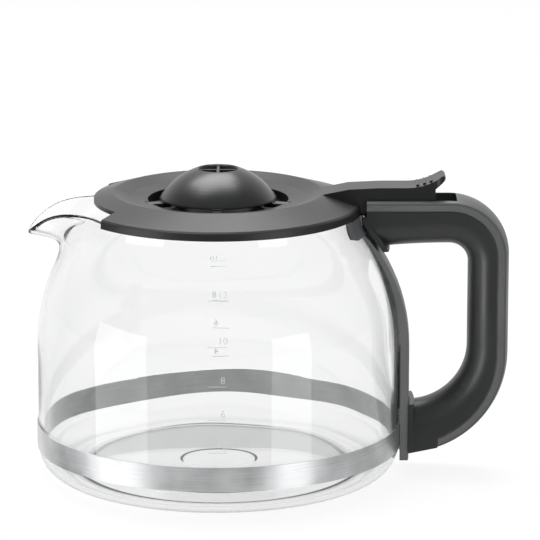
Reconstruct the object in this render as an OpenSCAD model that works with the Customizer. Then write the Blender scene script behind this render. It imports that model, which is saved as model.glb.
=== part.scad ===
// Coffee server carafe: a glass jug held by a steel band, with a two-part moulded handle
// and a hinged lid. The origin is the middle of the base, +X points to the handle, +Z is up.

/* [Glass jug] */
// Outer radius of the jug's straight wall
glass_r = 81.4; // [76:0.2:86]
// Wall thickness of the glass
glass_wall = 2.4; // [1.8:0.1:3.2]
// Height of the glass rim
glass_h = 121; // [118:0.5:124]
// How far the neck stands in from the straight wall
neck_in = 20.6; // [19.4:0.2:22.4]
// Height of the rim above the place where the wall starts to lean in
shoulder_h = 59.5; // [58.5:0.5:64]
// Radius of the shoulder, seen from the side
shoulder_bend = 75; // [70:1:80]
// Radius of the hollow bend between shoulder and neck
neck_bend = 14; // [10:0.5:16]
// Radius of the corner between wall and base
base_corner = 13; // [9:0.5:16]
// Width of the flat ring that the jug stands on
foot_ring_w = 5; // [3:0.5:7]
// Rise of the underside inside the standing ring
base_push = 2.4; // [1:0.2:4]
// Width of the slope from the standing ring up to the raised underside
base_slope_w = 9; // [6:0.5:14]
// Thickness of the floor
base_floor = 3; // [2.4:0.1:4]
// Radius of the round mark in the middle of the underside
base_mark_r = 17.5; // [12:0.5:24]
// Depth of the round mark
base_mark_depth = 0.6; // [0.3:0.1:1]

/* [Spout] */
// How far the spout's tip stands out past the wall
spout_out = 3.8; // [0:0.2:6]
// Drop of the spout's tip below the rim
spout_drop = 11; // [9:0.5:13]
// Angle from the spout's middle to where the rim is round again
spout_spread = 36; // [33:1:36]
// Exponent that sharpens the spout's beak
spout_pinch = 2.35; // [1.8:0.05:3]
// Exponent that keeps the beak's sides high
spout_side_lift = 3; // [2:0.25:4]
// Height above the shoulder's start at which the spout leaves the shoulder
spout_root_h = 30.5; // [27:0.5:33]
// How deep the throat follows the shoulder
throat_pull = 15; // [10:0.5:18]
// How far the lip runs level behind the tip
lip_pull = 15; // [10:0.5:18]
// Drop of the lip behind the tip
lip_drop = 2.6; // [0:0.2:4]

/* [Band] */
// Height of the band's lower edge
band_z = 12.8; // [9:0.2:15]
// Width of the band
band_w = 10.9; // [9:0.1:13]
// Thickness of the band's steel
band_t = 0.5; // [0.4:0.05:0.8]
// Half the distance between the band's two ends
band_end_y = 4.6; // [3.6:0.1:5.4]
// Length of each end that is turned out
band_tab_l = 8.6; // [7.6:0.2:10]
// Width of the hook at each end
band_hook_w = 2.6; // [1.8:0.1:3]
// Thickness of the clamp plate behind the hooks
plate_t = 1.6; // [1.2:0.1:2]

/* [Handle] */
// Width of the handle across
handle_w = 22.5; // [22:0.5:25]
// How far the handle's seam stands out from the wall on the upright part
seam_out = 42.8; // [40:0.2:46]
// Drop of the seam on the top arm below the glass rim
seam_drop = 0.1; // [0:0.1:0.6]
// Radius of the seam at the top corner
seam_corner = 21; // [18:0.5:23]
// Radius of the seam's lower bend
seam_sweep = 40.8; // [38:0.2:44]
// Height of the middle of the lower bend
seam_sweep_z = 55; // [52:0.5:58]
// Angle that the lower bend turns through
seam_sweep_angle = 74; // [73:1:76]
// How far the cover's lower end stands out from the wall
foot_out = 17; // [16.2:0.2:17.6]
// Radius of the slight bend along the top of the finger opening
finger_arch = 300; // [200:10:400]
// Thickness of the upright grip, without its cover
grip_depth = 12.6; // [11:0.1:14]
// Radius of the finger opening's top corner
finger_corner = 8.6; // [6:0.2:10]
// Depth of the top arm below its seam
arm_depth = 15.9; // [15:0.1:16.6]
// Radius of the finger opening's lower bend
finger_sweep = 26.5; // [24:0.5:28]
// Height of the finger opening's lower end
finger_low_z = 32; // [30:0.5:34]
// Rounding of the edges that the fingers touch
grip_round = 10.8; // [9:0.1:10.9]
// Wall thickness of the moulded grip
grip_wall = 2.35; // [1.8:0.05:2.6]
// Height of the handle foot's underside
foot_z = 9.8; // [8.6:0.1:10.4]
// Depth of the grip's wide hollow, from the finger side
hollow_depth = 5.8; // [5.6:0.1:6]
// Width of the narrow hollow below it
hollow_w = 11; // [9:0.5:11.5]
// Thickness of the flange that meets the spine
flange_t = 2.2; // [1.6:0.1:2.6]
// How far that flange stands proud of the grip
flange_rise = 0.7; // [0.4:0.1:1]
// Number of ribs across the upright grip
grip_ribs = 3; // [2:1:4]
// Thickness of each rib
grip_rib_t = 1.6; // [1.2:0.1:2]

/* [Cover] */
// Height of the cover's flat side above the seam
cover_side = 2.9; // [2.6:0.1:3.4]
// Rounding between the cover's side and its back
cover_round = 1.5; // [1.2:0.1:1.8]
// Extra height of the cover's crowned middle
cover_crown = 1.4; // [1:0.1:1.8]
// Wall thickness of the cover
cover_wall = 2.3; // [2:0.05:2.35]
// Depth of the lip that plugs the cover into the grip
cover_lip = 1.6; // [1:0.1:2.4]
// Thickness of that lip
cover_lip_t = 1.1; // [0.8:0.1:1.4]
// Height of the groove along the seam
groove_h = 0.5; // [0.3:0.05:0.7]
// Depth of that groove
groove_depth = 0.45; // [0.3:0.05:0.6]

/* [Spine] */
// Thickness of the spine along the straight wall
spine_t = 3.7; // [3.4:0.1:4.2]
// Radius of the spine's back along the shoulder
spine_bend = 78; // [77.5:0.1:78.5]
// How far below the shoulder's start the spine's back starts to lean in
spine_bend_drop = 3; // [2:0.1:4]
// Thickness of the spine at the neck
spine_neck_t = 3.4; // [3:0.1:3.8]
// Width of the spine
spine_w = 21.6; // [19:0.2:22]
// Gap between the glass and the spine, filled by the pads
spine_gap = 0.7; // [0.6:0.05:0.9]
// Height of the spine's lower tip
spine_low_z = 6.4; // [5:0.2:8]
// Gap between the lid's lower edge and the spine's top
spine_top_gap = 0.4; // [0.3:0.1:1.6]
// Half angle of the wings that hug the neck
wing_angle = 22; // [18:1:28]
// Thickness of the wings
wing_t = 2.4; // [1.8:0.1:3]
// Height of the wings
wing_h = 8; // [6:0.2:10]
// Thickness of the soft pads
pad_t = 0.5; // [0.4:0.05:0.55]
// Length of the pad on the straight wall
pad_l = 26; // [16:1:30]

/* [Lid] */
// How far the lid's edge stands out past the neck
lid_brim = 3; // [2.4:0.1:3.4]
// How far the lid's edge reaches below the glass rim
lid_skirt = 1.5; // [1:0.1:2]
// Height of the lid's outer edge
lid_edge_h = 4; // [3:0.1:5]
// Wall thickness of the lid
lid_wall = 1.7; // [1.4:0.1:2]
// Width of the lid's slope, from its edge to the raised ridge
lid_slope_w = 17.2; // [15:0.2:20]
// Rise of the ridge above the lid's outer edge
ridge_rise = 4.7; // [3:0.1:6]
// Rounding of the ridge
ridge_round = 3; // [2:0.2:5]
// Depth of the dish below the ridge, at its inner edge
dish_depth = 3.4; // [2:0.1:4]
// Width of the dish, from the ridge to the opening around the dome
dish_w = 15.2; // [14:0.1:15.8]
// Drop of the drip floor's outer edge below the glass rim
sump_drop = 0.4; // [0:0.1:0.8]
// Fall of the drip floor towards its hole
sump_fall = 5; // [4:0.1:5.6]
// Radius of the drip hole
drip_hole_r = 6; // [5:0.5:9]
// Half angle of the cut at the spout, at the lid's outer edge
notch_spread = 37.5; // [36:0.1:40]
// Half angle of each notch's inner end
notch_in_spread = 36; // [34:0.1:36.5]
// How far the nose between the notches stands in from the lid's edge
nose_in = 8.4; // [7:0.2:10]
// Depth of the collar that drops into the neck
collar_h = 3; // [2:0.5:5]

/* [Lever] */
// Width of the thumb lever
lever_w = 16.5; // [14:0.1:17]
// Rise of the lever's top above the lid's edge
lever_rise = 7.7; // [7:0.1:9]
// Length of the lever, from the hinge pin to its tip
lever_l = 27.4; // [26.2:0.2:29.2]
// Rise of the lever's tip above its top
lever_tip_rise = 4.8; // [4:0.2:7]
// Thickness of the lever's top
lever_t = 2.6; // [2:0.1:3.2]
// Angle of the tail's upward curve
tail_turn = 35; // [30:1:40]
// Radius of the tail's round tip
tip_round = 1.3; // [1:0.1:1.6]
// Rounding of the tail's two corners
lever_corner = 5; // [3:0.5:7]
// Length of the web below the lever, from the hinge pin
lever_web_l = 24.8; // [23.4:0.2:25.2]
// Height of the web's lower edge above the lid's edge, at the web's end
lever_web_rise = 1; // [0.8:0.1:1.5]
// Drop of the tail's underside below the lever's top, at the web
lever_under_drop = 0.6; // [0.2:0.1:1.4]
// Thickness of each side wall of the lever
lever_wall = 1.8; // [1.4:0.1:2.4]
// Number of grip ribs on the tail
lever_ribs = 3; // [2:1:4]
// Distance from the tail's end to the first grip rib
lever_rib_start = 5.2; // [4:0.1:6]
// Distance between the grip ribs
lever_rib_step = 3.1; // [2.6:0.1:3.2]
// Radius of each grip rib
lever_rib_r = 0.75; // [0.5:0.05:0.9]

/* [Hinge] */
// Distance from the lid's edge to the hinge pin
hinge_out = 8; // [7.4:0.1:8.6]
// Drop of the hinge pin below the glass rim
hinge_drop = 2.5; // [2.2:0.1:2.8]
// Radius of the hinge pin
hinge_pin_r = 1.5; // [1.2:0.1:2]
// Outer radius of the knuckle around the pin
knuckle_r = 3.8; // [3.2:0.1:4.2]

/* [Dome] */
// Width of the slot between the dome and the dish
dome_slot = 5.3; // [4.6:0.1:6]
// Height of the dome above its lower edge
dome_h = 13.4; // [12.4:0.1:14.4]
// Height of the dome's lower edge above the dish's inner edge
dome_lift = 0.4; // [0.1:0.1:0.8]
// Radius of the recess in the dome's top
dome_recess_r = 9.2; // [7:0.2:11]
// Depth of that recess
dome_recess_depth = 3; // [2:0.1:4]
// Wall thickness of the dome
dome_wall = 1.9; // [1.5:0.1:2.2]
// Number of bridges that carry the dome
bridges = 5; // [5:1:6]
// Width of each bridge
bridge_w = 4.6; // [3.6:0.1:5.4]
// Thickness of each bridge
bridge_t = 2; // [1.6:0.1:2.2]
// How far each bridge reaches into the lid
bridge_seat = 2; // [1.4:0.1:2.4]
// Thickness of the cross in the dome's recess
cross_t = 1.2; // [0.8:0.1:1.6]

/* [Screws] */
// Thread radius of the two handle screws
screw_r = 1.9; // [1.6:0.1:2]
// Head radius of the handle screws
screw_head_r = 2.9; // [2.6:0.1:3]
// Head height of the handle screws
screw_head_h = 1.8; // [1.4:0.1:2.2]
// Depth of the cross recess in the screw heads
screw_slot_depth = 1; // [0.6:0.1:1.2]
// Width of that recess
screw_slot_w = 0.9; // [0.6:0.1:1.1]
// Drop of the top screw below the glass rim
top_screw_drop = 10.4; // [10:0.1:10.6]

/* [Clearances] */
// Gap between pieces that are fixed to each other along curved faces
seat = 0.12; // [0.05:0.01:0.2]
// Gap between the lid and what it closes on
lid_gap = 0.3; // [0.25:0.01:0.4]
// Gap between the lid's edge and the handle's top arm
arm_gap = 2.2; // [2:0.1:2.6]
// Gap at each side of the lever in the handle
lever_side_gap = 0.55; // [0.4:0.01:0.7]
// Radial play of the lid on its pin
pin_play = 0.06; // [0.02:0.01:0.1]
// Room beyond the lever's tip when it swings
swing_gap = 1.2; // [0.8:0.1:1.6]

/* [Hidden] */
$fn = 96;
// Facets of very wide, flat arcs
fine_fn = 8 * $fn;
// Overrun of every cut, so that no two faces coincide
over = 1;
// Steps of each bend in a turned outline
bend_steps = 12;
// Steps of each short rounding in a turned outline
round_steps = 5;

// Points of an arc about c, from angle a to angle b
function arc(c, r, a, b, n) = [for (i = [0 : n]) c + r * [cos(a + (b - a) * i / n), sin(a + (b - a) * i / n)]];
function lerp(a, b, t) = a + (b - a) * t;
function reversed(v) = [for (i = [len(v) - 1 : -1 : 0]) v[i]];

// Places that follow from the glass
neck_r = glass_r - neck_in;
shoulder_z = glass_h - shoulder_h;
spout_reach = glass_r + spout_out;
spout_tip_z = glass_h - spout_drop;
spout_root_z = shoulder_z + spout_root_h;
lid_r = neck_r + lid_brim;
hinge_x = lid_r + hinge_out;
hinge_z = glass_h - hinge_drop;
seam_x = glass_r + seam_out;
seam_top_z = glass_h - seam_drop;
seam_corner_z = seam_top_z - seam_corner;
foot_x = glass_r + foot_out;
finger_top_z = seam_top_z - arm_depth;
spine_bend_z = shoulder_z - spine_bend_drop;
top_screw_z = glass_h - top_screw_drop;

// The jug's outline: a straight wall, a shoulder and a hollow bend up to the neck
shoulder_c = [glass_r - shoulder_bend, shoulder_z];
neck_c_r = neck_r + neck_bend;
neck_c_z = shoulder_z + sqrt(pow(shoulder_bend + neck_bend, 2) - pow(neck_c_r - shoulder_c[0], 2));
neck_c = [neck_c_r, neck_c_z];
shoulder_turn = atan2(neck_c[1] - shoulder_z, neck_c_r - shoulder_c[0]);
function shoulder_angle(z, g) = asin((z - shoulder_z) / (shoulder_bend + g));
// The same outline at a distance g outside the glass, from height z0 to height z1
function wall_line(g, z0, z1) = concat(
    [[glass_r + g, z0]],
    arc(shoulder_c, shoulder_bend + g, 0, shoulder_turn, bend_steps),
    arc(neck_c, neck_bend - g, 180 + shoulder_turn, 180, bend_steps),
    [[neck_r + g, z1]]);
// The radius of that line at a height on the shoulder or the wall
function wall_r(g, z) = z < shoulder_z ? glass_r + g
    : shoulder_c[0] + (shoulder_bend + g) * cos(shoulder_angle(z, g));

// The base: a standing ring, a slope and a raised middle
base_c = [glass_r - base_corner, base_corner];
foot_in_r = base_c[0] - foot_ring_w;
push_r = foot_in_r - base_slope_w;
mark_z = base_push + base_mark_depth;

// The handle's seam and finger opening, in the plane of the handle
corner_c = [seam_x - seam_corner, seam_corner_z];
sweep_c = [seam_x - seam_sweep, seam_sweep_z];
finger_x = seam_x - grip_depth;
finger_top_c = [finger_x - finger_corner, finger_top_z - finger_corner];
finger_low_c = [finger_x - finger_sweep, finger_low_z + finger_sweep];
finger_arch_c = [finger_top_c[0], finger_top_z - finger_arch];
// Room inside the handle for the lever
channel_w = lever_w + 2 * lever_side_gap;
// Where the top arm starts, just clear of the lid's edge
arm_x = lid_r + arm_gap;
spine_out = spine_gap + spine_t;
spine_x = glass_r + spine_out;
// Heights of the seam and of the cover's edge at the cover's lower end
seam_foot_z = seam_sweep_z - sqrt(pow(seam_sweep, 2) - pow(foot_x - sweep_c[0], 2));
cover_edge_r = seam_sweep + cover_side + cover_round;
foot_corner_z = seam_sweep_z - sqrt(pow(cover_edge_r, 2) - pow(foot_x - sweep_c[0], 2));

// The clamp at the band's ends
band_in_r = glass_r + seat;
band_out_r = band_in_r + band_t;
band_mid_z = band_z + band_w / 2;
hook_x = band_in_r + band_t / 4 + band_tab_l;
plate_w = 2 * (band_end_y - band_t - seat);
plate_h = band_w - 2 * seat;
clamp_pocket_x = hook_x + seat;
clamp_wall_x = clamp_pocket_x + grip_wall;

// The lid's outline
lid_low_z = glass_h - lid_skirt;
lid_edge_z = lid_low_z + lid_edge_h;
lid_in_r = lid_r - lid_wall;
ridge_r = lid_r - lid_slope_w;
ridge_z = lid_edge_z + ridge_rise;
dish_hole_r = ridge_r - dish_w;
dish_z = ridge_z - dish_depth;
collar_r = neck_r - glass_wall - 2 * lid_gap;
lid_roof_z = glass_h + lid_gap;
nose_r = lid_r - nose_in;
sump_z = glass_h - sump_drop;
spine_top_z = lid_low_z - spine_top_gap;

// The dome: a ball through the edge of its recess and its lower edge
dome_base_r = dish_hole_r - dome_slot;
dome_base_z = dish_z + dome_lift;
dome_top_z = dome_base_z + dome_h;
dome_c_z = dome_top_z - (pow(dome_base_r, 2) - pow(dome_recess_r, 2) + pow(dome_h, 2)) / (2 * dome_h);
dome_ball = norm([dome_recess_r, dome_top_z - dome_c_z]);
dome_floor_z = dome_top_z - dome_recess_depth;
bridge_z = dish_z - bridge_t;
bridge_end_r = dish_hole_r + bridge_seat;

// The lever's places, its tail, its round tip and its swing about the pin
lever_top_z = lid_edge_z + lever_rise;
lever_tip_x = hinge_x + lever_l;
lever_web_x = hinge_x + lever_web_l;
lever_web_z = lid_edge_z + lever_web_rise;
lever_under_z = lever_top_z - lever_under_drop;
tail_r = lever_tip_rise / (1 - cos(tail_turn));
tail_c = [lever_tip_x - tail_r * sin(tail_turn), lever_top_z + tail_r];
tip_c = tail_c + (tail_r + tip_round) * [sin(tail_turn), -cos(tail_turn)];
tip_swing = norm(tip_c - [hinge_x, hinge_z]) + tip_round;

// Turns a drawing in the handle's plane upright and gives it a width across
module across(w) {
    rotate([90, 0, 0])
        linear_extrude(w, center = true)
            children();
}

// Runs a section straight along the handle's plane, from p, with its outer side towards angle a
module run_line(p, a, l) {
    rotate([90, 0, 0])
        translate([p[0], p[1], 0])
            rotate([0, 0, a])
                rotate([90, 0, 0])
                    linear_extrude(l)
                        children();
}

// Turns a section about c in the handle's plane, from angle a to angle b
module run_bend(c, r, a, b) {
    rotate([90, 0, 0])
        translate([c[0], c[1], 0])
            rotate([0, 0, a])
                rotate_extrude(angle = b - a)
                    translate([r, 0])
                        children();
}

// Carries a section along the whole seam: top arm, corner, upright part and lower bend
module along_seam() {
    run_line([arm_x, seam_top_z], 90, corner_c[0] - arm_x)
        children();
    run_bend(corner_c, seam_corner, 0, 90)
        children();
    run_line([seam_x, seam_corner_z], 0, seam_corner_z - seam_sweep_z)
        children();
    run_bend(sweep_c, seam_sweep, 0, -seam_sweep_angle)
        children();
}

// The area inside the seam, grown by g: corner, lower bend and the stretches between them
module seam_area(g) {
    low_end = sweep_c + (seam_sweep + g) * [cos(seam_sweep_angle), -sin(seam_sweep_angle)];
    translate(corner_c)
        circle(seam_corner + g);
    intersection() {
        translate(sweep_c)
            circle(seam_sweep + g);
        polygon([sweep_c, [seam_x + g + over, seam_sweep_z],
                 [seam_x + g + over, foot_z - over], low_end]);
    }
    polygon([[corner_c[0], seam_top_z + g], corner_c, [seam_x + g, seam_corner_z],
             [seam_x + g, seam_sweep_z], sweep_c, [foot_x, seam_foot_z + cover_side], [foot_x, foot_corner_z], [spine_x, foot_z],
             [0, foot_z], [0, seam_top_z + g]]);
}

// The finger opening, grown by g
module finger_area(g) {
    right = finger_x + g;
    low = finger_low_z - g;
    translate(finger_top_c)
        circle(finger_corner + g);
    intersection() {
        translate(finger_low_c)
            circle(finger_sweep + g);
        translate([finger_low_c[0], low - over])
            square([finger_sweep + g + over, finger_sweep + g + over]);
    }
    intersection() {
        translate(finger_arch_c)
            circle(finger_arch + g, $fn = fine_fn);
        translate([0, finger_low_c[1]])
            square([finger_top_c[0], finger_arch]);
    }
    polygon([finger_top_c - [finger_corner, 0], finger_top_c, finger_top_c + [finger_corner + g, 0],
             [right, finger_low_c[1]], finger_low_c, [finger_low_c[0], low], [0, low],
             [0, finger_top_c[1]]]);
}

// Everything within a distance g of the glass, to be cut from what sits against it
module glass_side(g) {
    rotate_extrude()
        polygon(concat([[0, -over], [glass_r + g, -over]], wall_line(g, 0, glass_h + over),
                       [[0, glass_h + over]]));
}

// One column of the neck at an angle from the spout's middle, as [radius, height] pairs:
// up the outside, over the rim and down the inside
neck_path = concat(
    arc(shoulder_c, shoulder_bend, shoulder_angle(spout_root_z, 0), shoulder_turn, 6),
    arc(neck_c, neck_bend, 180 + shoulder_turn * 5 / 6, 180, 5),
    [[neck_r, glass_h - glass_wall / 2]]);
path_n = len(neck_path) - 1;
root = neck_path[0];
root_dir = [-sin(shoulder_angle(spout_root_z, 0)), cos(shoulder_angle(spout_root_z, 0))];
tip = [spout_reach - glass_wall / 2, spout_tip_z - glass_wall / 2];
throat = root + throat_pull * root_dir;
lip = tip - [lip_pull, lip_drop];
function bezier(t) = pow(1 - t, 3) * root + 3 * pow(1 - t, 2) * t * throat + 3 * (1 - t) * t * t * lip
    + pow(t, 3) * tip;
function beak(a) = abs(a) >= spout_spread ? 0
    : pow((1 + cos(180 * a / spout_spread)) / 2, spout_pinch);
function outside(a) = [for (j = [0 : path_n]) let (w = beak(a), s = bezier(j / path_n), n = neck_path[j])
    [lerp(n[0], s[0], w), lerp(n[1], s[1], pow(w, spout_side_lift))]];
function unit(v) = v / norm(v);
function inward(p, j) = let (d = unit(p[min(j + 1, path_n)] - p[max(j - 1, 0)])) [-d[1], d[0]];
rim_steps = 4;
function rim(p) = let (n = inward(p, path_n), d = [n[1], -n[0]], c = p[path_n] + n * glass_wall / 2)
    [for (k = [1 : rim_steps - 1]) let (t = 180 * k / rim_steps)
        c + glass_wall / 2 * (d * sin(t) - n * cos(t))];
// The foot of each column sinks into the turned wall below, clear of both its faces
sink = glass_wall / 4;
function column(a) = let (p = outside(a), q = [for (j = [0 : path_n]) p[j] + glass_wall * inward(p, j)],
    low = root - 2 * sink * root_dir, n = [-root_dir[1], root_dir[0]])
    concat([low + sink * n], [for (j = [1 : path_n]) p[j]], rim(p), [for (j = [path_n : -1 : 1]) q[j]],
        [low + (glass_wall - sink) * n]);
fine_step = 3;
coarse_step = 6;
angles = concat([for (a = [-spout_spread : fine_step : spout_spread]) a],
    [for (a = [spout_spread + coarse_step : coarse_step : 360 - spout_spread - coarse_step]) a]);

// The neck and spout as one ring of columns
module neck_ring() {
    columns = [for (a = angles) column(a)];
    m = len(columns[0]);
    n = len(columns);
    polyhedron(
        [for (i = [0 : n - 1]) for (q = columns[i]) [-q[0] * cos(angles[i]), -q[0] * sin(angles[i]), q[1]]],
        [for (i = [0 : n - 1]) for (k = [0 : m - 1])
            let (j = (k + 1) % m, e = (i + 1) % n, a = i * m + k, b = i * m + j, c = e * m + j, d = e * m + k)
            for (f = [[a, b, c], [a, c, d]]) f]);
}

// Jug: a turned body with a raised underside, and the neck with its spout
module glass_jug() {
    color("aliceblue", 0.4) {
        rotate_extrude()
            polygon(concat(
                [[0, mark_z], [base_mark_r, mark_z], [base_mark_r + base_mark_depth, base_push],
                 [push_r, base_push], [foot_in_r, 0]],
                arc(base_c, base_corner, -90, 0, bend_steps),
                arc(shoulder_c, shoulder_bend, 0, shoulder_angle(spout_root_z, 0), bend_steps),
                arc(shoulder_c, shoulder_bend - glass_wall, shoulder_angle(spout_root_z, -glass_wall), 0,
                    bend_steps),
                arc(base_c, base_corner - glass_wall, 0, -90, bend_steps),
                [[push_r, base_push + base_floor], [0, base_push + base_floor]]));
        neck_ring();
    }
}

// Steel band with both ends turned out and hooked over the clamp plate
module clamp_band() {
    color("silver")
        translate([0, 0, band_z]) {
            difference() {
                cylinder(r = band_out_r, h = band_w);
                translate([0, 0, -over])
                    cylinder(r = band_in_r, h = band_w + 2 * over);
                translate([0, -band_end_y, -over])
                    cube([hook_x, 2 * band_end_y, band_w + 2 * over]);
            }
            for (side = [-1, 1])
                mirror([0, side > 0 ? 0 : 1, 0]) {
                    translate([band_in_r + band_t / 4, band_end_y, 0])
                        cube([band_tab_l, band_t, band_w]);
                    translate([hook_x - band_t, band_end_y - band_hook_w, 0])
                        cube([band_t, band_hook_w + band_t, band_w]);
                }
        }
}

// Threaded plate that the screw draws outwards against the hooks
module clamp_plate() {
    color("gray")
        difference() {
            translate([hook_x - band_t - seat - plate_t, -plate_w / 2, band_z + seat])
                cube([plate_t, plate_w, plate_h]);
            translate([hook_x, 0, band_mid_z])
                rotate([0, -90, 0])
                    cylinder(r = screw_r + seat, h = band_tab_l);
        }
}

// A screw along the X axis: head at x, thread towards the glass
module handle_screw(x, z, l) {
    translate([x, 0, z])
        rotate([0, -90, 0]) {
            cylinder(r = screw_r, h = l);
            difference() {
                translate([0, 0, -screw_head_h])
                    cylinder(r = screw_head_r, h = screw_head_h);
                for (turn = [0, 90])
                    rotate([0, 0, turn])
                        translate([-screw_r, -screw_slot_w / 2, -screw_head_h - over])
                            cube([2 * screw_r, screw_slot_w, screw_slot_depth + over]);
            }
        }
}

// Screw that tightens the band
module clamp_screw() {
    color("dimgray")
        handle_screw(clamp_wall_x + seat, band_mid_z, clamp_wall_x - hook_x + band_t + plate_t + band_t);
}

// Screw that holds the top arm to the spine
top_screw_wall_x = wall_r(spine_out, top_screw_z) + seat + grip_wall;
module top_screw() {
    color("dimgray")
        handle_screw(top_screw_wall_x + seat, top_screw_z, grip_wall + spine_t);
}

// The strip at a distance g from the glass, t thick, between two heights
module wall_strip(g, t, z0, z1) {
    intersection() {
        rotate_extrude()
            polygon(concat(wall_line(g, 0, glass_h), reversed(wall_line(g + t, 0, glass_h))));
        translate([0, -glass_r, z0])
            cube([glass_r + g + t + over, 2 * glass_r, z1 - z0]);
    }
}

// The spine's outline: thick along the wall, thinner up the shoulder, upright at the neck
module spine_strip() {
    back_c = [spine_x - spine_bend, spine_bend_z];
    neck_x = neck_r + spine_gap + spine_neck_t;
    turn = acos((neck_x - back_c[0]) / spine_bend);
    back = concat([[spine_x, spine_low_z]], arc(back_c, spine_bend, 0, turn, bend_steps),
                  [[neck_x, spine_top_z]]);
    intersection() {
        rotate_extrude()
            polygon(concat(wall_line(spine_gap, 0, glass_h), [[spine_x, glass_h], [spine_x, 0]]));
        rotate_extrude()
            polygon(concat([[0, spine_low_z]], back, [[0, spine_top_z]]));
        translate([0, -spine_w / 2, 0])
            cube([2 * glass_r, spine_w, glass_h]);
    }
}

// Wedge about the axis, towards the handle
module wedge(spread) {
    reach = 2 * glass_r;
    linear_extrude(glass_h)
        polygon([[0, 0], reach * [cos(spread), -sin(spread)], [reach, 0],
                 reach * [cos(spread), sin(spread)]]);
}

// Spine: hugs the glass from the neck to the foot, and carries the neck wings
module handle_spine() {
    wing_z = spine_top_z - wing_h;
    color("dimgray")
        difference() {
            union() {
                spine_strip();
                intersection() {
                    wall_strip(spine_gap, wing_t, wing_z, spine_top_z);
                    wedge(wing_angle);
                }
            }
            translate([0, 0, band_z - spine_gap])
                cylinder(r = band_out_r + seat, h = band_w + 2 * spine_gap);
            for (side = [-1, 1])
                translate([0, side > 0 ? band_end_y - seat : -band_end_y - band_t - seat, band_z - seat])
                    cube([hook_x, band_t + 2 * seat, band_w + 2 * seat]);
            translate([0, 0, band_mid_z])
                rotate([0, 90, 0])
                    cylinder(r = screw_r + 2 * seat, h = hook_x);
            translate([0, 0, top_screw_z])
                rotate([0, 90, 0])
                    cylinder(r = screw_r + seat / 2, h = hook_x);
        }
}

// Soft pad between the wings and the neck
module neck_pad() {
    edge = (spine_gap - pad_t) / 2;
    color("darkslategray")
        intersection() {
            wall_strip(edge, pad_t, spine_top_z - wing_h, spine_top_z - edge);
            wedge(wing_angle - edge / neck_r * 180 / PI);
        }
}

// Soft pad between the spine and the straight wall
module spine_pad() {
    edge = (spine_gap - pad_t) / 2;
    middle = (band_z + band_w + shoulder_z) / 2;
    color("darkslategray")
        intersection() {
            wall_strip(edge, pad_t, middle - pad_l / 2, middle + pad_l / 2);
            translate([0, -spine_w / 3, 0])
                cube([2 * glass_r, spine_w * 2 / 3, glass_h]);
        }
}

// Rounded section along the finger opening, with its inner side at zero
module grip_section() {
    half = handle_w / 2;
    intersection() {
        translate([-grip_round, -half])
            square([grip_round, handle_w]);
        union() {
            for (side = [-1, 1])
                translate([-grip_round, side * (half - grip_round)])
                    circle(grip_round);
            translate([-grip_round, -half + grip_round])
                square([grip_round, handle_w - 2 * grip_round]);
        }
    }
}

// The grip's outer form: flat-sided towards the seam, round towards the fingers
module grip_form() {
    across(handle_w)
        difference() {
            seam_area(0);
            finger_area(grip_round);
        }
    arch_turn = asin((finger_top_c[0] - arm_x) / finger_arch);
    run_bend(finger_arch_c, finger_arch, 90, 90 + arch_turn)
        finger_side();
    run_bend(finger_top_c, finger_corner, 0, 90)
        finger_side();
    run_line([finger_x, finger_top_c[1]], 0, finger_top_c[1] - finger_low_c[1])
        finger_side();
    run_bend(finger_low_c, finger_sweep, 0, -90)
        finger_side();
    run_line([finger_low_c[0], finger_low_z], -90, finger_low_c[0] - glass_r)
        finger_side();
}

module finger_side() {
    mirror([1, 0, 0])
        grip_section();
}

// The lever's room: a slot as far as its tip swings
module lever_room() {
    across(channel_w)
        intersection() {
            translate([hinge_x, hinge_z])
                circle(tip_swing + swing_gap);
            translate([0, finger_top_z])
                square([hinge_x + 2 * tip_swing, 2 * tip_swing]);
        }
}

// The grip's hollow in the handle's plane, at a depth from the finger side
module grip_hollow(depth) {
    fill_z = seam_foot_z - grip_wall / 2;
    knuckle_z = hinge_z - knuckle_r - swing_gap;
    difference() {
        seam_area(over);
        finger_area(depth);
        polygon([[0, 0], [foot_x + 2 * over, 0], [foot_x + 2 * over, fill_z], [clamp_wall_x, fill_z],
                 [clamp_wall_x, finger_low_z], [spine_x + grip_wall, finger_low_z],
                 [spine_x + grip_wall, seam_sweep_z], [top_screw_wall_x, seam_sweep_z],
                 [top_screw_wall_x, knuckle_z], [arm_x - over, knuckle_z], [arm_x - over, glass_h],
                 [0, glass_h]]);
    }
}

// Flange at both ends of the grip, flat against the spine and a little proud of the grip
module grip_flange() {
    half = handle_w / 2 + flange_rise;
    difference() {
        intersection() {
            wall_strip(spine_out, seat + flange_t, foot_z + flange_rise, lid_low_z - lid_gap - flange_rise);
            translate([0, -half, 0])
                cube([2 * glass_r, 2 * half, glass_h]);
        }
        across(2 * handle_w)
            finger_area(-flange_rise);
    }
}

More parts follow.
